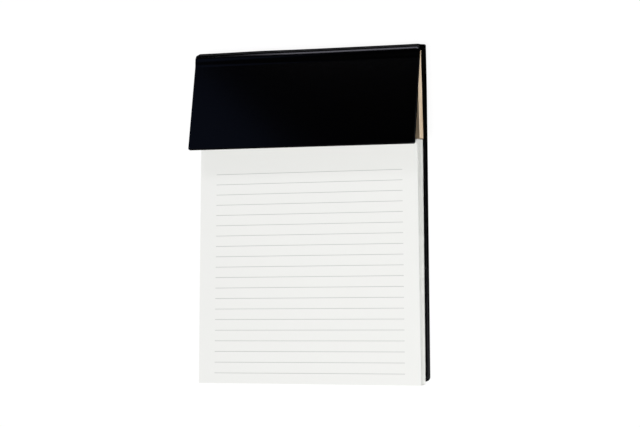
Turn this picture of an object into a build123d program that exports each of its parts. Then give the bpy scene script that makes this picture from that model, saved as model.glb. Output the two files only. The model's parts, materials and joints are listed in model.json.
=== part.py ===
from build123d import *
from math import cos, radians, tan
import os

# A5 notepad in a black leatherette cover with a short flap that swings up from the spine.
# +X runs to the right of the page, +Y towards the spine at the head, +Z up from the table.
# The origin is at the middle of the footprint, on the table.

# Ruled sheets
PAGE_WIDTH = 148.0
PAGE_LENGTH = 154.2
PAD_HEAD_THICKNESS = 12.4
PAD_FOOT_THICKNESS = 11.2

# Tan block under the flap, with the gaps before, behind and over it
NOTE_LENGTH = 55.8
NOTE_THICKNESS = 7.8
NOTE_GAP = 0.8
SPINE_CLEARANCE = 0.3
FLAP_CLEARANCE = 0.6

# Margins of the cover round the sheets, and the sheets' reach past the foot of the back cover
LEFT_MARGIN = 0.6
RIGHT_MARGIN = 2.45
PAD_OVERHANG = 1.7

# Cover materials
SKIN = 0.5
BACK_BOARD = 2.0
THIN_BOARD = 1.5
TURN_IN = 12.0

# Cover form: the spine leans over the block, the flap is a little wider than the back cover,
# reaches over the head of the sheets and rests half open
SPINE_LEAN_DEG = 5.0
FLAP_OVERLAP = 4.85
FLAP_SIDE_OVERHANG = 0.45
FLAP_LIFT_DEG = 13.3
HINGE_GAP = 0.3
BACK_CORNER_RADIUS = 3.0
SPINE_CORNER_RADIUS = 1.0
FLAP_CORNER_RADIUS = 1.0
EDGE_RADIUS = 0.7

# Largest bend of the leatherette over a board's rim, as a share of the wall or corner it runs round
EDGE_LIMIT_SHARE = 0.45

# Thicknesses of the finished cover
back_thickness = SKIN + BACK_BOARD + SKIN
thin_thickness = SKIN + THIN_BOARD + SKIN
fold_radius = thin_thickness / 2

# Height of the fold inside the rounded top of the spine, enough for the sheets and the block
note_headroom = NOTE_THICKNESS + FLAP_CLEARANCE + fold_radius
hinge_z = back_thickness + max(PAD_HEAD_THICKNESS, note_headroom)

# How far the leaning spine's outer face stands out past its top, at half the back cover's thickness
lean = radians(SPINE_LEAN_DEG)
spine_reach = (hinge_z - back_thickness / 2) * tan(lean) + fold_radius / cos(lean) - fold_radius

# Places along Y, from the foot of the sheets up to the outside of the spine at its top and its base
total_length = PAGE_LENGTH + NOTE_GAP + NOTE_LENGTH + SPINE_CLEARANCE + thin_thickness + spine_reach
pad_foot = -total_length / 2
pad_head = pad_foot + PAGE_LENGTH
note_foot = pad_head + NOTE_GAP
note_head = note_foot + NOTE_LENGTH
spine_inside = note_head + SPINE_CLEARANCE
spine_outside = spine_inside + thin_thickness
cover_head = spine_outside + spine_reach
cover_foot = pad_foot + PAD_OVERHANG
hinge_y = spine_outside - fold_radius

# Places along X: the sheets lie a little left of the cover's middle
cover_width = LEFT_MARGIN + PAGE_WIDTH + RIGHT_MARGIN
flap_width = FLAP_SIDE_OVERHANG + cover_width + FLAP_SIDE_OVERHANG
pad_centre_x = (LEFT_MARGIN - RIGHT_MARGIN) / 2

# Closed flap, before it is raised
flap_edge = pad_head - FLAP_OVERLAP
flap_root = hinge_y - fold_radius - HINGE_GAP
flap_base = hinge_z - fold_radius


def slab(width, y_low, y_high, z_low, thickness, centre_x=0, foot_radius=0, head_radius=0):
    """Flat slab between two places along Y, with its own corner radius at the foot and the head."""
    outline = Rectangle(width, y_high - y_low)
    if foot_radius > 0:
        outline = fillet(outline.vertices().group_by(Axis.Y)[0], foot_radius)
    if head_radius > 0:
        outline = fillet(outline.vertices().group_by(Axis.Y)[-1], head_radius)
    return Pos(centre_x, (y_low + y_high) / 2, z_low) * extrude(outline, thickness)


def round_rims(body, thickness, corner_radius):
    """Rounds the upper and lower rim of a slab, as leatherette bends over the edge of a board."""
    radius = min(EDGE_RADIUS, EDGE_LIMIT_SHARE * thickness, EDGE_LIMIT_SHARE * corner_radius)
    rims = body.edges().group_by(Axis.Z)
    return fillet(rims[0] + rims[-1], radius)


def make_page_block():
    """The sheets as one solid, tapering from the head down to the foot."""
    head_top = back_thickness + PAD_HEAD_THICKNESS
    foot_top = back_thickness + PAD_FOOT_THICKNESS
    side = Polyline(
        (pad_foot, back_thickness),
        (pad_head, back_thickness),
        (pad_head, head_top),
        (pad_foot, foot_top),
        close=True,
    )
    face = Plane.YZ * make_face(side)
    return Pos(pad_centre_x, 0, 0) * extrude(face, PAGE_WIDTH / 2, both=True)


def make_note_block():
    """The tan block that fills the head of the cover under the flap."""
    return slab(PAGE_WIDTH, note_foot, note_head, back_thickness, NOTE_THICKNESS, pad_centre_x)


def lean_spine(body):
    """Swings an upright piece about the fold, so that its base stands further out."""
    fold = Axis((0, hinge_y, hinge_z), (1, 0, 0))
    return body.rotate(fold, SPINE_LEAN_DEG)


def make_back_board():
    """Greyboard of the back cover, one skin inside the leatherette."""
    return slab(
        cover_width - 2 * SKIN,
        cover_foot + SKIN,
        cover_head - SKIN,
        SKIN,
        BACK_BOARD,
        foot_radius=BACK_CORNER_RADIUS - SKIN,
    )


def make_spine_board():
    """Greyboard strip that leans inside the spine and is cut level where it stands on the back board."""
    board_base = SKIN + BACK_BOARD
    upright = slab(cover_width - 2 * SKIN, spine_inside + SKIN, spine_outside - SKIN, 0, hinge_z)
    above_back_board = slab(cover_width, cover_foot, cover_head, board_base, hinge_z)
    return lean_spine(upright) & above_back_board


def make_back_lining():
    """Lining between the turned-in edges, flush with them, under the sheets."""
    return slab(
        cover_width - 2 * TURN_IN,
        cover_foot + TURN_IN,
        spine_inside,
        SKIN + BACK_BOARD,
        SKIN,
    )


def make_cover_wrap(boards):
    """Leatherette over the back cover and round the spine, hollow where the boards lie."""
    back = slab(
        cover_width,
        cover_foot,
        cover_head,
        0,
        back_thickness,
        foot_radius=BACK_CORNER_RADIUS,
        head_radius=SPINE_CORNER_RADIUS,
    )
    back = round_rims(back, back_thickness, SPINE_CORNER_RADIUS)
    wall = slab(
        cover_width,
        spine_inside,
        spine_outside,
        back_thickness / 2,
        hinge_z + fold_radius - back_thickness / 2,
        head_radius=SPINE_CORNER_RADIUS,
    )
    upright = Pos(hinge_y, hinge_z / 2) * Rectangle(thin_thickness, hinge_z)
    crown = Pos(hinge_y, hinge_z) * Circle(fold_radius)
    rounded = extrude(Plane.YZ * (upright + crown), cover_width, both=True)
    return back + lean_spine(wall & rounded) - boards


def raise_flap(body):
    """Swings a piece of the closed flap up about the fold to where it rests."""
    fold = Axis((0, hinge_y, hinge_z), (1, 0, 0))
    return body.rotate(fold, -FLAP_LIFT_DEG)


def make_flap_board():
    """Greyboard of the flap, one skin inside the leatherette."""
    return slab(
        flap_width - 2 * SKIN,
        flap_edge + SKIN,
        flap_root - SKIN,
        flap_base + SKIN,
        THIN_BOARD,
        foot_radius=FLAP_CORNER_RADIUS - SKIN,
    )


def make_flap_lining():
    """Lining on the flap's underside, flush between the turned-in edges."""
    return slab(
        flap_width - 2 * TURN_IN,
        flap_edge + TURN_IN,
        flap_root - TURN_IN / 2,
        flap_base,
        SKIN,
    )


def make_flap_wrap(boards):
    """Leatherette of the flap, turned in round its board and clear of the rounded spine."""
    flap = slab(
        flap_width,
        flap_edge,
        flap_root,
        flap_base,
        thin_thickness,
        foot_radius=FLAP_CORNER_RADIUS,
        head_radius=FLAP_CORNER_RADIUS,
    )
    return round_rims(flap, thin_thickness, FLAP_CORNER_RADIUS) - boards


back_board = make_back_board()
spine_board = make_spine_board()
back_lining = make_back_lining()
flap_board = make_flap_board()
flap_lining = make_flap_lining()

nodes = {
    "page_block": make_page_block(),
    "note_block": make_note_block(),
    "back_board": back_board,
    "spine_board": spine_board,
    "back_lining": back_lining,
    "cover_wrap": make_cover_wrap([back_board, spine_board, back_lining]),
    "flap_board": raise_flap(flap_board),
    "flap_lining": raise_flap(flap_lining),
    "flap_wrap": raise_flap(make_flap_wrap([flap_board, flap_lining])),
}

os.makedirs("parts", exist_ok=True)
for name, solid in nodes.items():
    export_step(solid, f"parts/{name}.step")
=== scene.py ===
"""A ruled notepad in a black leatherette cover with a short flap hinged over its head.

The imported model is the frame: places come from its boxes and its joint, and every other size
is a field of the piece or finish that has it. Lengths are in metres.
"""

import json
import logging
import math
from dataclasses import dataclass
from enum import Enum

import bmesh
import bpy
import numpy as np
from mathutils import Matrix, Vector


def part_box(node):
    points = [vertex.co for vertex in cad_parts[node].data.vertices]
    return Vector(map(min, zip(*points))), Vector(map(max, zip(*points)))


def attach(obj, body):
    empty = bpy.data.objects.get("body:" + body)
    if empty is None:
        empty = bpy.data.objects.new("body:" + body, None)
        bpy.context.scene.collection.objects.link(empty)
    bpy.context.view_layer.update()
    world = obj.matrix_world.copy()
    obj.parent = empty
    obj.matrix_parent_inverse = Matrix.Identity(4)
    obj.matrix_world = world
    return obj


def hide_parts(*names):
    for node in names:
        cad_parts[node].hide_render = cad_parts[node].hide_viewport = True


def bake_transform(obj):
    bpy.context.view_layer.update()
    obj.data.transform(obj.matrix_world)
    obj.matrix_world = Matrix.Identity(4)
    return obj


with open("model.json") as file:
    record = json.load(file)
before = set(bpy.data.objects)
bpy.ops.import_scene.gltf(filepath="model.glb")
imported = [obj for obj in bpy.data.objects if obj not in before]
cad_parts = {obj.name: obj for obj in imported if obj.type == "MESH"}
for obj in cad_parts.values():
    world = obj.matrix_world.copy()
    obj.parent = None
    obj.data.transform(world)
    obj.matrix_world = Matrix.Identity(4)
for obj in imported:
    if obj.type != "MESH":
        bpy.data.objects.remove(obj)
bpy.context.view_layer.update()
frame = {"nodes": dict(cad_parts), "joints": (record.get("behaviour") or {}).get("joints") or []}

MM = 0.001

# Steepest edge that is shaded smooth, and the distance within which points become one
SMOOTH_LIMIT = math.radians(32)
WELD_DISTANCE = 1e-7

log = logging.getLogger("notepad")

Colour = tuple[float, float, float]
Place = tuple[float, float, float]
Grid = tuple[np.ndarray, np.ndarray, np.ndarray]
Socket = bpy.types.NodeSocket


class Body(Enum):
    """The two bodies of the notepad that the fold joins."""

    BASE = "base"
    FLAP = "flap"


class Slot(Enum):
    """The record's material slots; the sheet stacks hold one each, but no piece is given it."""

    RULED_PAPER = "ruled_paper"
    TAN_CARD = "tan_card"
    LEATHERETTE = "leatherette"
    GREYBOARD = "greyboard"


class Ray(Enum):
    """Kinds of ray that see the floor as plain white ground, by the name of Light Path's output."""

    CAMERA = "Is Camera Ray"
    GLOSSY = "Is Glossy Ray"
    TRANSMISSION = "Is Transmission Ray"


# Surfaces

# Points over a rounded rim and over the rest of a corner, and a corner's least reach in rim radii
RIM_POINTS = 7
CORNER_POINTS = 5
LEAST_CORNER = 1.2

# Decimals that tell two places apart, and how far past an end a place may lie
PLACE_DECIMALS = 8
PLACE_SLACK = 1e-9


def rim_drop(inset: np.ndarray, rim: float | np.ndarray) -> np.ndarray:
    """Depth that a rounded rim falls below the face, a quarter circle: rim - sqrt(rim² - (rim - inset)²).

    Args:
        inset: Distances inside the outline.
        rim: Radius of the rim.

    Returns:
        The drop at each distance, rim at the outline and zero past the rim.
    """
    reach = rim - np.clip(inset, 0, rim)
    return rim - np.sqrt(np.maximum(rim * rim - reach * reach, 0))


def stations(
    low: float, high: float, rim: float, zone: float, step: float, marks: tuple[float, ...] = ()
) -> np.ndarray:
    """Places along a side: cosine-spaced over the rim at each end, close in the corner zone, then even.

    Args:
        low: Lower end of the side.
        high: Upper end of the side.
        rim: Radius of the rounded rim.
        zone: Reach of the rounded corner from each end.
        step: Spacing of the even stretch.
        marks: Further places that need a row of their own.

    Returns:
        The places in rising order.
    """
    turn = np.linspace(0, math.pi / 2, RIM_POINTS)
    corner = np.linspace(rim, max(zone, LEAST_CORNER * rim), CORNER_POINTS)
    inward = np.concatenate([rim * (1 - np.cos(turn)), corner])
    count = max(2, round((high - low - 2 * inward[-1]) / step))
    even = np.linspace(low + inward[-1], high - inward[-1], count)
    places = np.concatenate([low + inward, even, high - inward, np.array(marks)])
    places = np.unique(np.round(places, PLACE_DECIMALS))
    return places[(places >= low - PLACE_SLACK) & (places <= high + PLACE_SLACK)]


def rim_of(numbers: np.ndarray) -> np.ndarray:
    """Point numbers round the border of a grid.

    Args:
        numbers: The grid's point numbers.

    Returns:
        The border in order, each point once.
    """
    return np.concatenate([numbers[0, :], numbers[1:, -1], numbers[-1, -2::-1], numbers[-2:0:-1, 0]])


@dataclass(frozen=True)
class Plan:
    """Outline of a slab seen from above: a rectangle with rounded corners."""

    half_width: float
    y_low: float
    y_high: float
    foot_radius: float
    head_radius: float | np.ndarray

    def place(self, x: np.ndarray, y: np.ndarray) -> Grid:
        """Squeezes each corner's square of a grid into a quarter disc.

        With a and b the shares of the radius that a point lies past the corner's centre, a becomes
        a·sqrt(1 - b²/2) and b becomes b·sqrt(1 - a²/2), so the square's rim lands on the arc.

        Args:
            x: Places across, before rounding.
            y: Places along, before rounding.

        Returns:
            The rounded x and y, and each point's distance inside the outline.
        """
        foot = y < (self.y_low + self.y_high) / 2
        radius = np.where(foot, self.foot_radius, self.head_radius)
        centre_x = self.half_width - radius
        centre_y = np.where(foot, self.y_low + radius, self.y_high - radius)
        outward = np.where(foot, -1.0, 1.0)
        a = np.clip((np.abs(x) - centre_x) / radius, 0, 1)
        b = np.clip((y - centre_y) * outward / radius, 0, 1)
        round_a = a * np.sqrt(1 - b * b / 2)
        round_b = b * np.sqrt(1 - a * a / 2)
        corner = (a > 0) & (b > 0)
        side_inset = self.half_width - np.abs(x)
        end_inset = np.where(foot, y - self.y_low, self.y_high - y)
        inset = np.where(corner, radius * (1 - np.hypot(round_a, round_b)), np.minimum(side_inset, end_inset))
        return (
            np.where(corner, np.sign(x) * (centre_x + radius * round_a), x),
            np.where(corner, centre_y + outward * radius * round_b, y),
            np.maximum(inset, 0),
        )


class Skin:
    """A mesh being put together from grids of points."""

    def __init__(self) -> None:
        """Starts with no points and no faces."""
        self.points: list[np.ndarray] = []
        self.faces: list[list[int]] = []
        self.count = 0

    def lay(self, x: np.ndarray, y: np.ndarray, z: np.ndarray) -> np.ndarray:
        """Adds a grid of points.

        Args:
            x: X of each point.
            y: Y of each point.
            z: Z of each point.

        Returns:
            The points' numbers, in the grid's shape.
        """
        x, y, z = np.broadcast_arrays(x, y, z)
        numbers = np.arange(x.size).reshape(x.shape) + self.count
        self.points.append(np.stack([x, y, z], axis=-1).reshape(-1, 3))
        self.count += x.size
        return numbers

    def cover(self, numbers: np.ndarray, closed: bool = False) -> None:
        """Spans a grid of point numbers with four-sided faces.

        Args:
            numbers: The grid's point numbers.
            closed: True where the last row meets the first.
        """
        if closed:
            numbers = np.concatenate([numbers, numbers[:1]])
        corners = [numbers[:-1, :-1], numbers[:-1, 1:], numbers[1:, 1:], numbers[1:, :-1]]
        self.faces += np.stack(corners, axis=-1).reshape(-1, 4).tolist()

    def cap(self, ring: np.ndarray) -> None:
        """Closes a ring of points with one flat face."""
        self.faces.append(ring.ravel().tolist())

    def close_tower(self, rings: np.ndarray) -> None:
        """Spans rings of points that lie one over the other, and caps the first and the last.

        Args:
            rings: The point numbers, a row for each ring.
        """
        self.cover(rings.T, closed=True)
        self.cap(rings[0])
        self.cap(rings[-1])

    def close_slab(self, over: np.ndarray, under: np.ndarray) -> None:
        """Spans two grids that lie face to face, and the edge between their borders.

        Args:
            over: The upper grid's point numbers.
            under: The lower grid's point numbers, in the same order.
        """
        self.cover(over)
        self.cover(under)
        self.cover(np.stack([rim_of(over), rim_of(under)]).T, closed=True)

    def close_strip(self, outer: np.ndarray, inner: np.ndarray) -> None:
        """Joins two grids along their first and last rows, and caps the ends of the strip.

        Args:
            outer: The outer grid's point numbers.
            inner: The inner grid's point numbers, with as many in a row.
        """
        loop = np.concatenate([outer, inner[::-1]])
        self.cover(loop, closed=True)
        self.cap(loop[:, 0])
        self.cap(loop[:, -1])

    def make(self, name: str, material: bpy.types.Material) -> bpy.types.Object:
        """Turns the grids into an object with its normals outwards.

        Args:
            name: The piece's name.
            material: Its finish.

        Returns:
            The new object, at the origin.
        """
        mesh = bpy.data.meshes.new(name)
        mesh.from_pydata(np.concatenate(self.points).tolist(), [], self.faces)
        welded = bmesh.new()
        welded.from_mesh(mesh)
        bmesh.ops.remove_doubles(welded, verts=welded.verts, dist=WELD_DISTANCE)
        bmesh.ops.recalc_face_normals(welded, faces=welded.faces)
        welded.to_mesh(mesh)
        welded.free()
        mesh.shade_smooth()
        mesh.set_sharp_from_angle(angle=SMOOTH_LIMIT)
        mesh.materials.append(material)
        piece = bpy.data.objects.new(name, mesh)
        bpy.context.scene.collection.objects.link(piece)
        return piece


# Node trees

# Sockets of a Mix node that mixes colours
MIX_SHARE = 0
MIX_BARE = 6
MIX_FULL = 7
MIX_RESULT = 2

# Kinds of socket on a node group
VECTOR = "NodeSocketVector"
FLOAT = "NodeSocketFloat"


class Wiring:
    """Adds nodes to a tree and links their sockets."""

    def __init__(self, tree: bpy.types.NodeTree) -> None:
        """Starts from the tree as it is."""
        self.tree = tree

    def node(self, kind: str, inputs: dict | None = None, **settings: object) -> bpy.types.Node:
        """Adds one node.

        Args:
            kind: The node's Blender type.
            inputs: A socket to link or a value to set for each named input.
            settings: Properties of the node itself.

        Returns:
            The new node.
        """
        made = self.tree.nodes.new(kind)
        for name, value in settings.items():
            setattr(made, name, value)
        self.feed(made, inputs or {})
        return made

    def feed(self, node: bpy.types.Node, inputs: dict) -> None:
        """Links or sets a node's inputs.

        Args:
            node: The node.
            inputs: A socket to link or a value to set for each named input.
        """
        for name, value in inputs.items():
            if isinstance(value, Socket):
                self.tree.links.new(value, node.inputs[name])
            else:
                node.inputs[name].default_value = value

    def sum(self, operation: str, first: Socket | float, second: Socket | float = 0.0) -> Socket:
        """Adds a Math node.

        Args:
            operation: The node's operation.
            first: Its first number.
            second: Its second number, where the operation has one.

        Returns:
            The result's socket.
        """
        made = self.node("ShaderNodeMath", {0: first, 1: second}, operation=operation)
        return made.outputs["Value"]

    def ramp(self, value: Socket, low: float, high: float, start: float, end: float) -> Socket:
        """Maps a number from one range to another, held at the ends.

        Args:
            value: The number.
            low: Where the range starts.
            high: Where it stops.
            start: Result at the start.
            end: Result at the stop.

        Returns:
            The result's socket.
        """
        inputs = {"Value": value, "From Min": low, "From Max": high, "To Min": start, "To Max": end}
        return self.node("ShaderNodeMapRange", inputs).outputs["Result"]

    def noise(self, position: Socket, scale: Socket | float, detail: float) -> Socket:
        """Adds a Noise Texture node.

        Args:
            position: Where the noise is read.
            scale: Its scale.
            detail: How many finer layers it has.

        Returns:
            The noise's socket, about zero to one.
        """
        inputs = {"Vector": position, "Scale": scale, "Detail": detail}
        return self.node("ShaderNodeTexNoise", inputs).outputs["Fac"]

    def tint(self, mask: Socket, bare: Colour | Socket, full: Colour | Socket) -> Socket:
        """Mixes two colours by a mask.

        Args:
            mask: Share of the second colour.
            bare: Colour where the mask is zero.
            full: Colour where the mask is one.

        Returns:
            The mixed colour's socket.
        """
        inputs = {MIX_SHARE: mask}
        for number, colour in ((MIX_BARE, bare), (MIX_FULL, full)):
            inputs[number] = colour if isinstance(colour, Socket) else (*colour, 1.0)
        return self.node("ShaderNodeMix", inputs, data_type="RGBA").outputs[MIX_RESULT]

    def relief(self, height: Socket, depth: float, strength: float) -> Socket:
        """Adds a Bump node.

        Args:
            height: The relief, from zero to one.
            depth: The real depth of that.
            strength: Share of the relief that shows.

        Returns:
            The normal's socket.
        """
        inputs = {"Height": height, "Distance": depth, "Strength": strength}
        return self.node("ShaderNodeBump", inputs).outputs["Normal"]


def start_group(
    name: str, inputs: dict[str, str], outputs: dict[str, str]
) -> tuple[Wiring, dict[str, Socket], bpy.types.Node]:
    """Starts a shader node group with named sockets.

    Args:
        name: The group's name.
        inputs: Socket type of each input.
        outputs: Socket type of each output.

    Returns:
        The group's wiring, its inputs' sockets inside, and its output node.
    """
    tree = bpy.data.node_groups.new(name, "ShaderNodeTree")
    for label, kind in inputs.items():
        tree.interface.new_socket(name=label, in_out="INPUT", socket_type=kind)
    for label, kind in outputs.items():
        tree.interface.new_socket(name=label, in_out="OUTPUT", socket_type=kind)
    wiring = Wiring(tree)
    entry = wiring.node("NodeGroupInput")
    return wiring, {label: entry.outputs[label] for label in inputs}, wiring.node("NodeGroupOutput")


@dataclass
class SharedEffects:
    """Node groups that several finishes use, each built once."""

    fine_detail: float = 3.0
    broad_detail: float = 2.0
    pebble_smoothness: float = 0.6
    pebble_noise: float = 0.5
    pebble_scale: float = 0.67

    def __post_init__(self) -> None:
        """Builds the groups."""
        self.fibre = self.build_fibre()
        self.sheet_edges = self.build_sheet_edges()
        self.grain = self.build_grain()

    def build_fibre(self) -> bpy.types.NodeTree:
        """Pressed fibre: fine noise over a broad cloudiness, half and half.

        Returns:
            The group, with Tone and Height between zero and one.
        """
        inputs = {"Position": VECTOR, "Fibre Scale": FLOAT, "Cloud Scale": FLOAT}
        wiring, given, out = start_group("pressed_fibre", inputs, {"Tone": FLOAT, "Height": FLOAT})
        fine = wiring.noise(given["Position"], given["Fibre Scale"], self.fine_detail)
        cloud = wiring.noise(given["Position"], given["Cloud Scale"], self.broad_detail)
        mean = wiring.sum("MULTIPLY", wiring.sum("ADD", fine, cloud), 0.5)
        wiring.feed(out, {"Tone": mean, "Height": fine})
        return wiring.tree

    def build_sheet_edges(self) -> bpy.types.NodeTree:
        """Edges of stacked sheets: the tone changes from sheet to sheet and a little along each.

        Returns:
            The group, with Tone between zero and one.
        """
        inputs = {"Position": VECTOR, "Sheets Per Metre": FLOAT, "Run": FLOAT}
        wiring, given, out = start_group("sheet_edges", inputs, {"Tone": FLOAT})
        parts = wiring.node("ShaderNodeSeparateXYZ", {"Vector": given["Position"]})
        around = wiring.sum("ADD", parts.outputs["X"], parts.outputs["Y"])
        along = wiring.sum("MULTIPLY", around, given["Run"])
        up = wiring.sum("MULTIPLY", parts.outputs["Z"], given["Sheets Per Metre"])
        flat = wiring.node("ShaderNodeCombineXYZ", {"X": along, "Y": up})
        wiring.feed(out, {"Tone": wiring.noise(flat.outputs["Vector"], 1.0, self.broad_detail)})
        return wiring.tree

    def build_grain(self) -> bpy.types.NodeTree:
        """Pressed pebble grain: rounded cells with fine noise over them.

        Returns:
            The group, with Height and Tone between zero and one.
        """
        inputs = {"Position": VECTOR, "Cell Scale": FLOAT}
        wiring, given, out = start_group("pebble_grain", inputs, {"Height": FLOAT, "Tone": FLOAT})
        position, scale = given["Position"], given["Cell Scale"]
        cell_inputs = {"Vector": position, "Scale": scale, "Smoothness": self.pebble_smoothness}
        cells = wiring.node("ShaderNodeTexVoronoi", cell_inputs, feature="SMOOTH_F1")
        noise = wiring.noise(position, scale, self.fine_detail)
        pebble = wiring.sum("SUBTRACT", 1.0, cells.outputs["Distance"])
        rough = wiring.sum("ADD", pebble, wiring.sum("MULTIPLY", noise, self.pebble_noise))
        wiring.feed(out, {"Height": wiring.sum("MULTIPLY", rough, self.pebble_scale), "Tone": noise})
        return wiring.tree


# Finishes


def blank_material(name: str) -> tuple[bpy.types.Material, Wiring]:
    """Starts a material with no nodes.

    Args:
        name: The material's name.

    Returns:
        The material and its wiring.
    """
    material = bpy.data.materials.new(name)
    material.use_nodes = True
    material.node_tree.nodes.clear()
    return material, Wiring(material.node_tree)


def start_material(name: str) -> tuple[bpy.types.Material, Wiring, bpy.types.Node, Socket]:
    """Starts a material with one Principled shader and the piece's own coordinates.

    Args:
        name: The material's name.

    Returns:
        The material, its wiring, its shader and its position socket.
    """
    material, wiring = blank_material(name)
    shader = wiring.node("ShaderNodeBsdfPrincipled")
    wiring.node("ShaderNodeOutputMaterial", {"Surface": shader.outputs["BSDF"]})
    place = wiring.node("ShaderNodeTexCoord")
    return material, wiring, shader, place.outputs["Object"]


@dataclass(frozen=True)
class LeatheretteFinish:
    """Black coated cloth with a fine pressed grain and no bright glancing edge.

    The colours are the shares of light that the coat throws back when seen square on. The shader's metallic
    side is used, because its glancing reflection has a tint, which is black here. The coat is dull on the
    back cover and grows glossier up the spine to the flap, where hands polish it.
    """

    name: str
    hollow: Colour
    crest: Colour
    roughness_low: float
    roughness_high: float
    dull: Colour
    dull_level: float
    glossy_level: float
    edge_tint: Colour = (0.0, 0.0, 0.0)
    cells_per_metre: float = 1500.0
    grain_depth: float = 0.01 * MM
    grain_strength: float = 0.5
    tone_low: float = 0.3
    tone_high: float = 0.7

    def material(self, effects: SharedEffects) -> bpy.types.Material:
        """Builds the material.

        Args:
            effects: The shared node groups.

        Returns:
            The material.
        """
        material, wiring, shader, position = start_material(self.name)
        inputs = {"Position": position, "Cell Scale": self.cells_per_metre}
        grain = wiring.node("ShaderNodeGroup", inputs, node_tree=effects.grain)
        height, tone = grain.outputs["Height"], grain.outputs["Tone"]
        level = wiring.node("ShaderNodeSeparateXYZ", {"Vector": position}).outputs["Z"]
        polish = wiring.ramp(level, self.dull_level, self.glossy_level, 0.0, 1.0)
        coat = wiring.tint(height, self.hollow, self.crest)
        inputs = {
            "Base Color": wiring.tint(polish, self.dull, coat),
            "Roughness": wiring.ramp(
                tone, self.tone_low, self.tone_high, self.roughness_low, self.roughness_high
            ),
            "Metallic": 1.0,
            "Specular Tint": (*self.edge_tint, 1.0),
            "Normal": wiring.relief(height, self.grain_depth, self.grain_strength),
        }
        wiring.feed(shader, inputs)
        return material


@dataclass(frozen=True)
class FibreFinish:
    """Plain paper or board: pressed fibre with a little cloudiness."""

    name: str
    dark: Colour
    light: Colour
    roughness: float
    fibre_scale: float
    cloud_scale: float
    fibre_depth: float
    fibre_strength: float = 0.4
    gloss: float = 0.2

    def material(self, effects: SharedEffects) -> bpy.types.Material:
        """Builds the material.

        Args:
            effects: The shared node groups.

        Returns:
            The material.
        """
        material, wiring, shader, position = start_material(self.name)
        inputs = {"Position": position, "Fibre Scale": self.fibre_scale, "Cloud Scale": self.cloud_scale}
        fibre = wiring.node("ShaderNodeGroup", inputs, node_tree=effects.fibre)
        plain = wiring.tint(fibre.outputs["Tone"], self.dark, self.light)
        inputs = {
            "Base Color": self.marked(wiring, effects, position, plain),
            "Roughness": self.roughness,
            "Specular IOR Level": self.gloss,
            "Normal": wiring.relief(fibre.outputs["Height"], self.fibre_depth, self.fibre_strength),
        }
        wiring.feed(shader, inputs)
        return material

    def marked(self, wiring: Wiring, effects: SharedEffects, position: Socket, plain: Socket) -> Socket:
        """Colour with the finish's marks on it; a plain sheet has none.

        Args:
            wiring: The material's wiring.
            effects: The shared node groups.
            position: The piece's own coordinates.
            plain: The fibre's colour.

        Returns:
            The colour's socket.
        """
        return plain


@dataclass(frozen=True, kw_only=True)
class StackFinish(FibreFinish):
    """Stacked sheets whose upright sides carry a painted colour of light and shade, coming in from a low to a
    high level.

    By default both levels lie below the stack, so that the sides have that painted colour all the way up.
    """

    # Colour painted on the upright sides: painted shade where it is darker than the sheets, painted light
    # where it is lighter
    edge: Colour
    fade_low: float = -2.0 * MM
    fade_high: float = -1.0 * MM
    sheets_per_metre: float = 9000.0
    run: float = 25.0
    tone_low: float = 0.35
    tone_high: float = 0.6
    faintest: float = 0.55
    steep: float = 0.5
    flat: float = 0.8

    def marked(self, wiring: Wiring, effects: SharedEffects, position: Socket, plain: Socket) -> Socket:
        """Colour of the sheets with painted light and shade on the upright sides, its share changing from
        sheet to sheet.

        Args:
            wiring: The material's wiring.
            effects: The shared node groups.
            position: The piece's own coordinates.
            plain: The fibre's colour.

        Returns:
            The colour's socket.
        """
        inputs = {"Position": position, "Sheets Per Metre": self.sheets_per_metre, "Run": self.run}
        edges = wiring.node("ShaderNodeGroup", inputs, node_tree=effects.sheet_edges)
        facing = wiring.node("ShaderNodeNewGeometry").outputs["True Normal"]
        upward = wiring.node("ShaderNodeSeparateXYZ", {"Vector": facing}).outputs["Z"]
        side = wiring.ramp(wiring.sum("ABSOLUTE", upward), self.steep, self.flat, 1.0, 0.0)
        level = wiring.node("ShaderNodeSeparateXYZ", {"Vector": position}).outputs["Z"]
        # Mask of the painted side colour, from how upright a face is and from its level
        side_paint = wiring.sum("MULTIPLY", side, wiring.ramp(level, self.fade_low, self.fade_high, 0.0, 1.0))
        line = wiring.ramp(edges.outputs["Tone"], self.tone_low, self.tone_high, 1.0, self.faintest)
        return wiring.tint(wiring.sum("MULTIPLY", line, side_paint), plain, self.edge)


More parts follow.
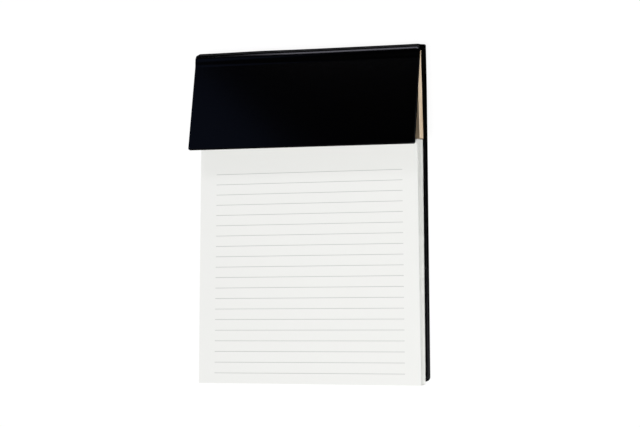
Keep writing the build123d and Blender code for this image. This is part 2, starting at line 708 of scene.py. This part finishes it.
@dataclass(frozen=True)
class RuledFinish(FibreFinish):
    """White writing paper with ruled lines across it."""

    ink: Colour = (0.47, 0.475, 0.46)
    first_line_y: float = 27.72 * MM
    line_pitch: float = 6.562 * MM
    pitch_growth: float = 0.02 * MM
    line_tilt: float = 0.004
    line_count: int = 20
    line_width: float = 0.29 * MM
    line_softness: float = 0.08 * MM
    left_end: float = -63.25 * MM
    left_slope: float = 0.0262
    right_end: float = 63.0 * MM

    def marked(self, wiring: Wiring, effects: SharedEffects, position: Socket, plain: Socket) -> Socket:
        """Colour of the paper with the ink of the lines on it.

        Args:
            wiring: The material's wiring.
            effects: The shared node groups.
            position: The piece's own coordinates.
            plain: The fibre's colour.

        Returns:
            The colour's socket.
        """
        return wiring.tint(self.ruling(wiring, position), plain, self.ink)

    def ruling(self, wiring: Wiring, position: Socket) -> Socket:
        """Mask of the ruled lines: one within half a line's width of the nearest line, inside the margins.

        With d the way down from the first line, p the pitch and g its growth from line to line, the number
        of lines down is (sqrt(p² + 2gd) - p) / g. The left ends follow the sheets' splayed edge.

        Args:
            wiring: The material's wiring.
            position: The piece's own coordinates.

        Returns:
            The mask's socket.
        """
        parts = wiring.node("ShaderNodeSeparateXYZ", {"Vector": position})
        x, y = parts.outputs["X"], parts.outputs["Y"]
        first = wiring.sum("ADD", wiring.sum("MULTIPLY", x, self.line_tilt), self.first_line_y)
        grown = wiring.sum("MULTIPLY", wiring.sum("SUBTRACT", first, y), 2 * self.pitch_growth)
        root = wiring.sum("SQRT", wiring.sum("ADD", grown, self.line_pitch**2))
        lines_down = wiring.sum("DIVIDE", wiring.sum("SUBTRACT", root, self.line_pitch), self.pitch_growth)
        nearest = wiring.sum("MAXIMUM", wiring.sum("ROUND", lines_down), 0.0)
        nearest = wiring.sum("MINIMUM", nearest, self.line_count - 1.0)
        away = wiring.sum("ABSOLUTE", wiring.sum("SUBTRACT", lines_down, nearest))
        mean_pitch = self.line_pitch + self.pitch_growth * self.line_count / 2
        half = self.line_width / 2 / mean_pitch
        soft = self.line_softness / mean_pitch
        line = wiring.ramp(away, half - soft, half + soft, 1.0, 0.0)
        straight = wiring.sum("SUBTRACT", x, wiring.sum("MULTIPLY", y, self.left_slope))
        from_left = wiring.ramp(straight, self.left_end - self.line_width, self.left_end, 0.0, 1.0)
        to_right = wiring.ramp(x, self.right_end, self.right_end + self.line_width, 1.0, 0.0)
        return wiring.sum("MULTIPLY", line, wiring.sum("MULTIPLY", from_left, to_right))


# Sub-assemblies


def settle(piece: bpy.types.Object, body: Body) -> bpy.types.Object:
    """Lets a piece ride on a body.

    Args:
        piece: The piece.
        body: The body that carries it.

    Returns:
        The same piece.
    """
    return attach(piece, body.value)


@dataclass(frozen=True)
class Splay:
    """How far a stack of sheets has slid sideways at each corner of its top, and its base's share of that."""

    left_foot: float
    left_head: float
    right_foot: float
    right_head: float
    base_share: float = 0.0

    def shift(self, across: np.ndarray, along: np.ndarray) -> np.ndarray:
        """Sideways shift, bilinear between the corners.

        Args:
            across: Shares of the width, from left to right.
            along: Shares of the length, from foot to head.

        Returns:
            The shift of each point of the top.
        """
        left = self.left_foot + (self.left_head - self.left_foot) * along
        right = self.right_foot + (self.right_head - self.right_foot) * along
        return left + (right - left) * across


@dataclass
class SheetStack:
    """A stack of cut sheets whose edges don't quite line up."""

    name: str
    node: str
    slot: Slot
    foot_height: float
    splay: Splay
    sheet_group: float = 0.2 * MM
    stray: float = 0.07 * MM
    stray_limit: float = 2.5
    drift: float = 0.05 * MM
    drift_waves: int = 3
    side_points: int = 40
    seed: int = 4

    def outline(self) -> np.ndarray:
        """Points round the stack with the outward direction of each.

        Returns:
            Rows of x, y, outward x and outward y, corners pointing both ways.
        """
        low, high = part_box(self.node)
        ends = np.array([(low.x, low.y), (high.x, low.y), (high.x, high.y), (low.x, high.y)])
        ways = np.roll(ends, -1, axis=0) - ends
        out = np.array([(0.0, -1.0), (1.0, 0.0), (0.0, 1.0), (-1.0, 0.0)])
        share = np.linspace(0, 1, self.side_points, endpoint=False)[None, :, None]
        places = (ends[:, None] + share * ways[:, None]).reshape(-1, 2)
        ring = np.column_stack([places, np.repeat(out, self.side_points, axis=0)])
        ring[:: self.side_points, 2:] = out + np.roll(out, 1, axis=0)
        return ring

    def build(self, material: bpy.types.Material) -> bpy.types.Object:
        """Carries each sheet's outline up the stack.

        A group of sheets has one stray offset, and its edge drifts as a slow sine along the stack's outline.
        The splay grows evenly from the base to the top.

        Args:
            material: The stack's finish.

        Returns:
            The stack.
        """
        low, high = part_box(self.node)
        ring = self.outline()
        groups = round((high.z - low.z) / self.sheet_group)
        chance = np.random.default_rng(self.seed)
        stray = np.repeat(chance.normal(0, self.stray, groups), 2)[:, None]
        phase = np.repeat(chance.uniform(0, 2 * math.pi, groups), 2)[:, None]
        turn = np.linspace(0, 2 * math.pi, len(ring), endpoint=False)[None, :]
        limit = self.stray_limit * self.stray
        offset = np.clip(stray + self.drift * np.sin(self.drift_waves * turn + phase), -limit, limit)
        level = np.repeat(np.arange(groups + 1), 2)[1:-1, None] / groups
        share = (ring[None, :, 1] - low.y) / (high.y - low.y)
        across = (ring[None, :, 0] - low.x) / (high.x - low.x)
        top = self.foot_height + (high.z - self.foot_height) * share
        slid = self.splay.base_share + (1 - self.splay.base_share) * level
        x = ring[:, 0] + slid * self.splay.shift(across, share) + offset * ring[:, 2]
        y = ring[:, 1] + offset * ring[:, 3]
        skin = Skin()
        skin.close_tower(skin.lay(x, y, low.z + level * (top - low.z)))
        piece = skin.make(self.name, material)
        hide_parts(self.node)
        return settle(piece, Body.BASE)


@dataclass
class TopSheet:
    """The uppermost ruled sheet of the pad."""

    foot_height: float
    splay: Splay
    thickness: float = 0.12 * MM
    wave: float = 0.06 * MM
    step: float = 2.5 * MM

    def build(self, material: bpy.types.Material) -> bpy.types.Object:
        """Lays one sheet on the pad: a plane that falls to the foot, waved by a slow sine each way.

        Args:
            material: The ruled paper.

        Returns:
            The sheet.
        """
        low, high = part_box("page_block")
        x = np.linspace(low.x, high.x, round((high.x - low.x) / self.step))[None, :]
        y = np.linspace(low.y, high.y, round((high.y - low.y) / self.step))[:, None]
        share = (y - low.y) / (high.y - low.y)
        across = (x - low.x) / (high.x - low.x)
        level = self.foot_height + (high.z - self.foot_height) * share
        level = level + self.wave * np.sin(2 * math.pi * across) * np.sin(math.pi * share)
        x = x + self.splay.shift(across, share)
        skin = Skin()
        skin.close_slab(skin.lay(x, y, level + self.thickness), skin.lay(x, y, level))
        return settle(skin.make("top_sheet", material), Body.BASE)


@dataclass
class Cover:
    """Leatherette cover: the back and a leaning spine with a rounded top."""

    rim: float = 0.7 * MM
    foot_corner: float = 3.0 * MM
    base_corner: float = 0.8 * MM
    crown_corner: float = 2.6 * MM
    corner_reach: float = 2.5 * MM
    head_taper: float = 0.35 * MM
    taper_reach: float = 42.0 * MM
    inner_bend: float = 0.5 * MM
    lining_relief: float = 0.03 * MM
    step: float = 2.5 * MM
    wall_points: int = 9
    bend_points: int = 12

    def __post_init__(self) -> None:
        """Reads the cover's places from the frame, and works out the spine's lean.

        The outer face touches the circle about the fold and meets the head at half the back's thickness.
        With d and h the fold's distances from there, d·cos(lean) - h·sin(lean) is the circle's radius.
        """
        low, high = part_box("cover_wrap")
        self.half_width = high.x
        self.foot = low.y
        self.head = high.y
        self.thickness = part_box("page_block")[0].z
        _, self.hinge_y, self.hinge_z = frame["joints"][0]["pos_m"]
        self.fold_radius = high.z - self.hinge_z
        out, down = self.head - self.hinge_y, self.hinge_z - self.thickness / 2
        self.lean = math.acos(self.fold_radius / math.hypot(out, down)) - math.atan2(down, out)
        self.plan = Plan(self.half_width, self.foot, self.head, self.foot_corner, self.base_corner)

    def lean_out(self, out: np.ndarray, up: np.ndarray) -> tuple[np.ndarray, np.ndarray]:
        """Turns places on an upright spine about the fold to the spine's lean.

        Args:
            out: Distances out from the fold.
            up: Distances up from the fold.

        Returns:
            The y and z of the leaning places.
        """
        cosine, sine = math.cos(self.lean), math.sin(self.lean)
        return self.hinge_y + out * cosine - up * sine, self.hinge_z + out * sine + up * cosine

    def corner_at(self, up: np.ndarray) -> np.ndarray:
        """Radius of the spine's corners: the base's, growing by a square to the crown's just below the fold.

        Args:
            up: Distances up from the fold.

        Returns:
            The radius at each height.
        """
        near = np.clip(1 + up / self.corner_reach, 0, 1)
        return self.base_corner + (self.crown_corner - self.base_corner) * near * near

    def taper(self, x: np.ndarray, y: np.ndarray) -> np.ndarray:
        """Draws the sides in towards the head, by a square of the way along the taper.

        Args:
            x: Places across.
            y: Places along.

        Returns:
            The narrowed x.
        """
        share = np.clip(1 - (self.head - y) / self.taper_reach, 0, 1)
        return x * (1 - self.head_taper / self.half_width * share * share)

    def outer_side(self, x: np.ndarray) -> Grid:
        """Underside, outer face of the spine and outer quarter of the crown, from foot to crown.

        The underside is a plane that curves up into its rim. The spine's face is a plane on its outline, and
        the crown a quarter circle about the fold whose radius shrinks by the rim's drop towards the ends. The
        corners of the spine grow rounder just below the crown.

        Args:
            x: Places across, as one row.

        Returns:
            The grid's x, y and z.
        """
        y = stations(self.foot, self.head, self.rim, self.foot_corner, self.step)[:, None]
        under_x, under_y, inset = self.plan.place(*np.broadcast_arrays(x, y))
        under_z = rim_drop(inset, self.rim)
        foot_z = np.full_like(under_x[:1], self.thickness / 2)
        share = np.linspace(1, 0, self.wall_points)[:, None] ** 2
        touch = self.hinge_z + self.fold_radius * math.sin(self.lean)
        base = (self.thickness / 2 - touch) / math.cos(self.lean)
        turn = np.linspace(0, math.pi / 2, self.bend_points)[1:, None]
        radius = self.fold_radius - rim_drop(self.half_width - np.abs(x), self.rim) * np.sin(turn)
        wall = np.full((self.wall_points, x.size), self.fold_radius)
        out = np.concatenate([wall, radius * np.cos(turn)])
        up = np.concatenate([np.broadcast_to(base * share, wall.shape), radius * np.sin(turn)])
        corner = self.corner_at(up)
        section = Plan(self.half_width, -self.half_width, self.fold_radius, self.crown_corner, corner)
        spine_x, out, _ = section.place(np.broadcast_to(x, out.shape), out)
        spine_y, spine_z = self.lean_out(out, up)
        return (
            np.concatenate([under_x[:1], under_x, spine_x]),
            np.concatenate([under_y[:1], under_y, spine_y]),
            np.concatenate([foot_z, under_z, spine_z]),
        )

    def inner_side(self, x: np.ndarray) -> Grid:
        """Inside of the back, inner bend, inner face of the spine and inner quarter of the crown.

        The bend is an arc that leaves the inside of the back level and meets the spine's inner face at its
        lean. The back has the underside's outline, and the rest draws in by the rim's drop at its ends.

        Args:
            x: Places across, as one row.

        Returns:
            The grid's x, y and z, from foot to crown, without the rows that the outer side has.
        """
        top = self.thickness - self.lining_relief
        cosine, sine = math.cos(self.lean), math.sin(self.lean)
        bend_z = top + self.inner_bend
        below = self.hinge_z - bend_z
        inward = (self.fold_radius + self.inner_bend - below * sine) / cosine
        bend_y = self.hinge_y - inward
        y = stations(self.foot, self.head, self.rim, self.foot_corner, self.step)
        y = np.append(y[y < bend_y - self.rim], bend_y)[:, None]
        face_x, face_y, inset = self.plan.place(*np.broadcast_arrays(x, y))
        face_z = top - rim_drop(inset, self.rim)
        end_drop = rim_drop(self.half_width - np.abs(x), self.rim)
        turn = np.linspace(-math.pi / 2, self.lean, self.bend_points)[1:, None]
        hollow_y = bend_y + (self.inner_bend + end_drop) * np.cos(turn)
        hollow_z = bend_z + (self.inner_bend + end_drop) * np.sin(turn)
        rise = np.linspace(inward * sine - below * cosine, 0, self.wall_points)[1:, None]
        turn = np.linspace(math.pi, math.pi / 2, self.bend_points)[1:-1, None]
        radius = self.fold_radius - end_drop
        out = np.concatenate([np.broadcast_to(-radius, (rise.size, x.size)), radius * np.cos(turn)])
        up = np.concatenate([np.broadcast_to(rise, (rise.size, x.size)), radius * np.sin(turn)])
        spine_y, spine_z = self.lean_out(out, up)
        plain = np.broadcast_to(x, (len(hollow_y) + len(out), x.size))
        return (
            np.concatenate([face_x, plain]),
            np.concatenate([face_y, hollow_y, spine_y]),
            np.concatenate([face_z, hollow_z, spine_z]),
        )

    def build(self, material: bpy.types.Material) -> bpy.types.Object:
        """Closes the two sides into one skin and caps its ends.

        Args:
            material: The leatherette.

        Returns:
            The cover.
        """
        across = stations(-self.half_width, self.half_width, self.rim, self.foot_corner, self.step)[None, :]
        skin = Skin()
        sides = (self.outer_side(across), self.inner_side(across))
        skin.close_strip(*(skin.lay(self.taper(x, y), y, z) for x, y, z in sides))
        piece = skin.make("cover_leather", material)
        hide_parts("cover_wrap")
        return settle(piece, Body.BASE)


@dataclass
class SpineCore:
    """Greyboard strip inside the leaning spine, trimmed short of the leatherette's rounded ends."""

    cover: Cover
    trim: float = 1.5 * MM
    wrap: float = 0.5 * MM

    def build(self, material: bpy.types.Material) -> bpy.types.Object:
        """Carries the strip's oblong section up the lean, from a level cut on the back board to the fold.

        With o a corner's distance out from the fold and u the cut's distance up from it, which is negative,
        hinge_z + o·sin(lean) + u·cos(lean) is the top of the back board.

        Args:
            material: The greyboard.

        Returns:
            The strip.
        """
        cover = self.cover
        half = cover.half_width - self.trim
        half_thick = cover.fold_radius - self.wrap
        x = np.array([[-half, half, half, -half]])
        out = np.array([[half_thick, half_thick, -half_thick, -half_thick]])
        seat = cover.thickness - self.wrap - cover.hinge_z
        cut = (seat - out * math.sin(cover.lean)) / math.cos(cover.lean)
        y, z = cover.lean_out(out, cut * np.linspace(1, 0, cover.wall_points)[:, None])
        skin = Skin()
        skin.close_tower(skin.lay(x, y, z))
        piece = skin.make("spine_core", material)
        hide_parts("spine_board")
        return settle(piece, Body.BASE)


@dataclass
class Flap:
    """Stiff flap over the pad's head, raised about the fold."""

    cover: Cover
    lift_deg: float = 13.3
    reach: float = 0.5 * MM
    rim_over: float = 0.4 * MM
    rim_under: float = 0.7 * MM
    corner: float = 1.0 * MM
    root_corner: float = 0.9 * MM
    lining_relief: float = 0.06 * MM
    step: float = 2.5 * MM

    def __post_init__(self) -> None:
        """Lays the flap's solids back down about the fold and reads their places."""
        self.low, self.high = self.laid("flap_wrap")
        self.lining_low, self.lining_high = self.laid("flap_lining")

    def laid(self, node: str) -> tuple[Vector, Vector]:
        """Corners of one of the flap's solids with the flap closed.

        Args:
            node: The solid's name.

        Returns:
            Its lowest and highest corner.
        """
        mesh = frame["nodes"][node].data
        points = np.empty(3 * len(mesh.vertices))
        mesh.vertices.foreach_get("co", points)
        x, y, z = self.swing(*points.reshape(-1, 3).T, -self.lift_deg)
        return Vector((x.min(), y.min(), z.min())), Vector((x.max(), y.max(), z.max()))

    def swing(self, x: np.ndarray, y: np.ndarray, z: np.ndarray, degrees: float) -> Grid:
        """Turns points about the fold, raising the flap's free edge.

        Args:
            x: X of each point.
            y: Y of each point.
            z: Z of each point.
            degrees: How far the flap is raised.

        Returns:
            The turned x, y and z.
        """
        cosine, sine = math.cos(math.radians(degrees)), math.sin(math.radians(degrees))
        hinge_y, hinge_z = self.cover.hinge_y, self.cover.hinge_z
        out, up = y - hinge_y, z - hinge_z
        return x, hinge_y + out * cosine + up * sine, hinge_z - out * sine + up * cosine

    def build(self, material: bpy.types.Material) -> bpy.types.Object:
        """Two faces that curve into their rims, joined by an upright edge, with a shallow bed for the lining.

        Each face is a plane less the rim's drop at a point's distance inside the outline. The flap is laid
        out closed and then raised about the fold.

        Args:
            material: The leatherette.

        Returns:
            The flap.
        """
        half = self.high.x
        free_edge = self.low.y - self.reach
        plan = Plan(half, free_edge, self.high.y, self.corner, self.root_corner)
        bed_x = np.array([-self.lining_high.x, self.lining_high.x])
        bed_y = np.array([self.lining_low.y, self.lining_high.y])
        brink = np.array([[-self.lining_relief], [self.lining_relief]])
        marks_x, marks_y = (tuple((bed + brink).ravel()) for bed in (bed_x, bed_y))
        across = stations(-half, half, self.rim_over, self.corner, self.step, marks_x)[None, :]
        along = stations(free_edge, self.high.y, self.rim_over, self.corner, self.step, marks_y)[:, None]
        x, y, inset = plan.place(*np.broadcast_arrays(across, along))
        over = self.high.z - rim_drop(inset, self.rim_over)
        in_bed = (np.abs(x) < bed_x[1]) & (y > bed_y[0]) & (y < bed_y[1])
        under = self.low.z + rim_drop(inset, self.rim_under) + in_bed * self.lining_relief
        skin = Skin()
        skin.close_slab(*(skin.lay(*self.swing(x, y, z, self.lift_deg)) for z in (over, under)))
        piece = skin.make("flap_leather", material)
        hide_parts("flap_wrap")
        return settle(piece, Body.FLAP)


@dataclass
class Fold:
    """Leatherette that runs up the spine, swells round the fold and runs on to the flap."""

    cover: Cover
    flap: Flap
    tight: float = 2.2 * MM
    wide: float = 9.0 * MM
    tight_deg: float = 55.0
    wide_deg: float = 67.0
    swell: float = 0.15 * MM
    bulge: float = 0.75 * MM
    sink: float = 0.02 * MM
    depth: float = 0.3 * MM
    spine_reach: float = 4.0 * MM
    flap_reach: float = 6.0 * MM
    flare: float = 0.1 * MM
    flare_reach: float = 6.0 * MM
    bow: float = 0.25 * MM
    bow_centre: float = -32.0 * MM
    bow_reach: float = 22.0 * MM
    bend_points: int = 48
    ramp_points: int = 13
    step: float = 2.5 * MM

    def __post_init__(self) -> None:
        """Works out the direction that the flap's face looks in, as an angle from level."""
        self.tilt = math.radians(90 - self.flap.lift_deg)

    def path(self) -> Grid:
        """Section of the fold, each point by the direction that it looks in.

        The middle is a bend whose radius eases from tight to wide as it turns. Its points are the running
        sum of the radius times the turn along the tangent, and it is placed so that it stands the swell proud
        of the spine's face and the bulge proud of the flap's. A cosine ramp takes each end down to its face.

        Returns:
            Columns of the directions, and of the distances from the hinge along them and square to them.
        """
        lean, tilt, radius = self.cover.lean, self.tilt, self.cover.fold_radius
        faces = np.array([[math.cos(lean), math.sin(lean)], [math.cos(tilt), math.sin(tilt)]])
        turn = np.linspace(lean, tilt, self.bend_points)
        ease = np.clip((np.degrees(turn) - self.tight_deg) / (self.wide_deg - self.tight_deg), 0, 1)
        bend = self.tight + (self.wide - self.tight) * ease * ease * (3 - 2 * ease)
        middle = (turn[1:] + turn[:-1]) / 2
        run = (bend[1:] + bend[:-1]) / 2 * np.diff(turn)
        out = np.append(0, np.cumsum(-run * np.sin(middle)))
        up = np.append(0, np.cumsum(run * np.cos(middle)))
        proud = radius + np.array([self.swell, self.bulge])
        start = np.linalg.solve(faces, proud - [0, faces[1] @ [out[-1], up[-1]]])
        out, up = out + start[0], up + start[1]
        arc_rise = out * np.cos(turn) + up * np.sin(turn)
        arc_slide = up * np.cos(turn) - out * np.sin(turn)
        share = np.linspace(0, 1, self.ramp_points)[1:]
        ramp = (1 + np.cos(math.pi * share)) / 2
        spine_rise = radius - self.sink + (self.swell + self.sink) * ramp
        flap_rise = radius - self.sink + (self.bulge + self.sink) * ramp
        spine_slide = arc_slide[0] - self.spine_reach * share
        flap_slide = arc_slide[-1] + self.flap_reach * share
        angle = np.concatenate([np.full_like(share, lean), turn, np.full_like(share, tilt)])
        rise = np.concatenate([spine_rise[::-1], arc_rise, flap_rise])
        slide = np.concatenate([spine_slide[::-1], arc_slide, flap_slide])
        return angle[:, None], rise[:, None], slide[:, None]

    def build(self, material: bpy.types.Material) -> bpy.types.Object:
        """Carries the section across, with a rounded and slightly flared end at each side.

        The ends fall by a quarter circle, large on the spine and small on the flap, and the spine's side bows
        out by a bell curve. The inner face follows the plain fold, and both are closed into one strip.

        Args:
            material: The leatherette.

        Returns:
            The strip, with its place baked into its points.
        """
        cover = self.cover
        angle, rise, slide = self.path()
        on_flap = (angle - cover.lean) / (self.tilt - cover.lean)
        half = cover.half_width - cover.head_taper
        x = stations(-half, half, cover.crown_corner, cover.foot_corner, self.step)[None, :]
        inset = half - np.abs(x)
        corner = cover.corner_at(np.where(on_flap > 0, 0, slide))
        spine_drop = rim_drop(inset, corner) - self.flare * np.exp(-inset / self.flare_reach)
        spine_drop = spine_drop - self.bow * np.exp(-(((x - self.bow_centre) / self.bow_reach) ** 2))
        drop = spine_drop + (rim_drop(inset, self.flap.rim_over) - spine_drop) * on_flap
        spread = x * (1 + (self.flap.high.x / half - 1) * on_flap)
        cosine, sine = np.cos(angle), np.sin(angle)
        skin = Skin()
        rows = []
        for radius in (rise - drop, cover.fold_radius - self.depth - drop):
            out = radius * cosine - slide * sine
            up = radius * sine + slide * cosine
            rows.append(skin.lay(spread, cover.hinge_y + out, cover.hinge_z + up))
        skin.close_strip(*rows)
        piece = skin.make("fold_leather", material)
        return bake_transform(piece)


# Studio


@dataclass(frozen=True)
class Softbox:
    """A soft lamp that faces the notepad."""

    name: str
    direction: Place
    distance: float
    width: float
    height: float
    power: float
    colour: Colour = (1.0, 1.0, 1.0)
    target: Place = (0.0, 0.0, 10.0 * MM)

    def hang(self) -> bpy.types.Object:
        """Places the lamp along its direction, turned to the target.

        Returns:
            The lamp.
        """
        lamp = bpy.data.lights.new(self.name, "AREA")
        lamp.shape = "RECTANGLE"
        lamp.size = self.width
        lamp.size_y = self.height
        lamp.energy = self.power
        lamp.color = self.colour
        holder = bpy.data.objects.new(self.name, lamp)
        away = Vector(self.direction).normalized()
        holder.location = Vector(self.target) + self.distance * away
        holder.rotation_mode = "QUATERNION"
        holder.rotation_quaternion = away.to_track_quat("Z", "Y")
        holder.visible_camera = False
        bpy.context.scene.collection.objects.link(holder)
        return holder


@dataclass(frozen=True)
class Viewpoint:
    """Camera above the notepad, turned a little to its right."""

    yaw: float = 0.342
    pitch: float = 0.0208
    roll: float = -0.0108
    distance: float = 1250.25 * MM
    aim: Place = (4.782 * MM, 1.394 * MM, 6.0 * MM)
    focal_pixels: float = 1950.0
    image_width: float = 640.0
    sensor: float = 36.0

    def set_up(self) -> bpy.types.Object:
        """Makes the camera and gives it to the scene.

        Returns:
            The camera.
        """
        back = Vector(
            (
                math.sin(self.yaw) * math.cos(self.pitch),
                -math.sin(self.pitch),
                math.cos(self.yaw) * math.cos(self.pitch),
            )
        )
        level = (-back).cross(Vector((0, 1, 0))).normalized()
        upright = level.cross(-back)
        right = math.cos(self.roll) * level + math.sin(self.roll) * upright
        up = math.cos(self.roll) * upright - math.sin(self.roll) * level
        lens = bpy.data.cameras.new("viewpoint")
        lens.sensor_width = self.sensor
        lens.lens = self.focal_pixels * self.sensor / self.image_width
        camera = bpy.data.objects.new("viewpoint", lens)
        turn = Matrix((right, up, back)).transposed().to_4x4()
        camera.matrix_world = Matrix.Translation(Vector(self.aim) + self.distance * back) @ turn
        bpy.context.scene.collection.objects.link(camera)
        bpy.context.scene.camera = camera
        return camera


@dataclass(frozen=True)
class Studio:
    """White ground that rises into a backdrop all round, soft lamps and a dim room."""

    hub_radius: float = 2.0 * MM
    ground_radius: float = 3.0
    cove_radius: float = 2.5
    ground_gap: float = 0.2 * MM
    ring_points: int = 96
    cove_points: int = 16
    albedo: float = 0.8
    glow: float = 0.93
    shown_albedo: float = 0.09
    room: float = 0.006
    lamps: tuple[Softbox, ...] = (
        Softbox("main", (-0.05, -0.15, 0.95), distance=2.0, width=0.5, height=0.5, power=32.6),
        Softbox("side", (0.94, -0.36, 0.17), distance=1.1, width=0.6, height=0.4, power=9.0),
        Softbox(
            "rear",
            (-0.205, 0.682, 0.706),
            distance=0.8,
            width=0.305,
            height=0.14,
            power=0.69,
            colour=(0.94, 0.92, 1.0),
            target=(0.0, 100.0 * MM, 0.0),
        ),
        Softbox(
            "cool",
            (-0.56, 0.414, 0.7175),
            distance=1.05,
            width=0.4,
            height=0.48,
            power=0.14,
            colour=(0.43, 0.56, 1.0),
        ),
    )

    def ground(self) -> bpy.types.Object:
        """A surface of revolution: flat, then a quarter circle up into the backdrop.

        Returns:
            The ground.
        """
        turn = np.linspace(0, 2 * math.pi, self.ring_points, endpoint=False)[None, :]
        bend = np.linspace(0, math.pi / 2, self.cove_points)[:, None]
        radius = np.concatenate([[[self.hub_radius]], self.ground_radius + self.cove_radius * np.sin(bend)])
        height = np.concatenate([[[0.0]], self.cove_radius * (1 - np.cos(bend))]) - self.ground_gap
        skin = Skin()
        numbers = skin.lay(radius * np.cos(turn), radius * np.sin(turn), height)
        skin.cover(numbers.T, closed=True)
        skin.cap(numbers[0])
        piece = skin.make("ground", self.ground_material())
        return piece

    def ground_material(self) -> bpy.types.Material:
        """White with a faint shadow where the ground is seen or mirrored, plain white paint for the light.

        Returns:
            The material.
        """
        material, wiring = blank_material("ground_white")
        path = wiring.node("ShaderNodeLightPath")
        seen = path.outputs[Ray.CAMERA.value]
        for ray in (Ray.GLOSSY, Ray.TRANSMISSION):
            seen = wiring.sum("MAXIMUM", seen, path.outputs[ray.value])
        paint = wiring.node("ShaderNodeBsdfDiffuse", {"Color": (self.albedo,) * 3 + (1.0,)})
        shown = wiring.node("ShaderNodeBsdfDiffuse", {"Color": (self.shown_albedo,) * 3 + (1.0,)})
        glow = wiring.node("ShaderNodeEmission", {"Strength": self.glow})
        both = wiring.node("ShaderNodeAddShader", {0: shown.outputs[0], 1: glow.outputs[0]})
        mixed = wiring.node("ShaderNodeMixShader", {0: seen, 1: paint.outputs[0], 2: both.outputs[0]})
        wiring.node("ShaderNodeOutputMaterial", {"Surface": mixed.outputs[0]})
        return material

    def set_up(self) -> None:
        """Puts up the ground, the lamps and the room's own light."""
        scene = bpy.context.scene
        scene.view_settings.view_transform = "Standard"
        scene.world = bpy.data.worlds.new("room")
        scene.world.use_nodes = True
        backdrop = scene.world.node_tree.nodes["Background"]
        backdrop.inputs["Color"].default_value = (1.0, 1.0, 1.0, 1.0)
        backdrop.inputs["Strength"].default_value = self.room
        self.ground()
        for lamp in self.lamps:
            lamp.hang()


# The notepad

# Thickness of the pad at its foot, and the level where the painted shade on its sides starts, as shares of
# its height
PAD_FOOT_SHARE = 11.2 / 12.4
PAD_SHADE_SHARE = 0.3

# The paper that the top sheet and the sheets below it share
WHITE_PAPER = {
    "dark": (0.866, 0.87, 0.842),
    "light": (0.89, 0.893, 0.866),
    "roughness": 0.75,
    "fibre_scale": 2600.0,
    "cloud_scale": 60.0,
    "fibre_depth": 0.015 * MM,
}


def dress_inside(board: bpy.types.Material, effects: SharedEffects) -> None:
    """Gives the boards and linings that stay as packed their finishes.

    Args:
        board: The greyboard.
        effects: The shared node groups.
    """
    lining = FibreFinish(
        "lining_paper",
        dark=(0.012, 0.012, 0.013),
        light=(0.028, 0.028, 0.03),
        roughness=0.7,
        fibre_scale=1800.0,
        cloud_scale=70.0,
        fibre_depth=0.03 * MM,
    )
    for nodes, material in (
        (("back_board", "flap_board"), board),
        (("back_lining", "flap_lining"), lining.material(effects)),
    ):
        for node in nodes:
            mesh = frame["nodes"][node].data
            mesh.materials.clear()
            mesh.materials.append(material)
            log.info("dressed %s", node)


def main() -> None:
    """Builds the notepad's pieces in order, then the studio and the camera."""
    logging.basicConfig(level=logging.INFO, format="%(name)s: %(message)s")
    effects = SharedEffects()
    cover = Cover()
    satin = LeatheretteFinish(
        "leatherette",
        hollow=(0.02, 0.02, 0.0215),
        crest=(0.027, 0.027, 0.029),
        roughness_low=0.11,
        roughness_high=0.15,
        dull=(0.004, 0.004, 0.0044),
        dull_level=cover.thickness,
        glossy_level=cover.hinge_z,
    )
    leather = satin.material(effects)
    grey = FibreFinish(
        "greyboard",
        dark=(0.34, 0.32, 0.29),
        light=(0.5, 0.48, 0.44),
        roughness=0.9,
        fibre_scale=900.0,
        cloud_scale=90.0,
        fibre_depth=0.06 * MM,
    )
    board = grey.material(effects)
    page_low, page_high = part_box("page_block")
    page_height = page_high.z - page_low.z
    # Painted shade: the pad's upright sides are coloured darker towards the top, over the upper part of the
    # stack
    pad = StackFinish(
        "pad_edges",
        **WHITE_PAPER,
        edge=(0.5, 0.51, 0.5),
        fade_low=page_low.z + PAD_SHADE_SHARE * page_height,
        fade_high=page_high.z,
    )
    ruled = RuledFinish("ruled_paper", **WHITE_PAPER)
    # Painted light: the tan card's upright sides are coloured lighter and paler than its tops
    card = StackFinish(
        "tan_card",
        dark=(0.72, 0.55, 0.36),
        light=(0.8, 0.63, 0.44),
        roughness=0.8,
        fibre_scale=1500.0,
        cloud_scale=80.0,
        fibre_depth=0.03 * MM,
        edge=(0.9, 0.79, 0.64),
    )
    page_foot = page_low.z + PAD_FOOT_SHARE * page_height
    page_splay = Splay(
        left_foot=-2.18 * MM, left_head=1.65 * MM, right_foot=0.39 * MM, right_head=-0.05 * MM
    )
    pages = SheetStack("page_stack", "page_block", Slot.RULED_PAPER, page_foot, page_splay)
    note_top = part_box("note_block")[1].z
    note_splay = Splay(
        left_foot=0.37 * MM, left_head=-0.42 * MM, right_foot=0.37 * MM, right_head=-0.42 * MM, base_share=1.0
    )
    notes = SheetStack("note_stack", "note_block", Slot.TAN_CARD, note_top, note_splay, seed=9)
    flap = Flap(cover)
    pieces = [
        pages.build(pad.material(effects)),
        TopSheet(page_foot, page_splay).build(ruled.material(effects)),
        notes.build(card.material(effects)),
        cover.build(leather),
        SpineCore(cover).build(board),
        flap.build(leather),
        Fold(cover, flap).build(leather),
    ]
    for piece in pieces:
        log.info("built %s with %d faces", piece.name, len(piece.data.polygons))
    dress_inside(board, effects)
    Studio().set_up()
    Viewpoint().set_up()


if __name__ == "__main__":
    main()
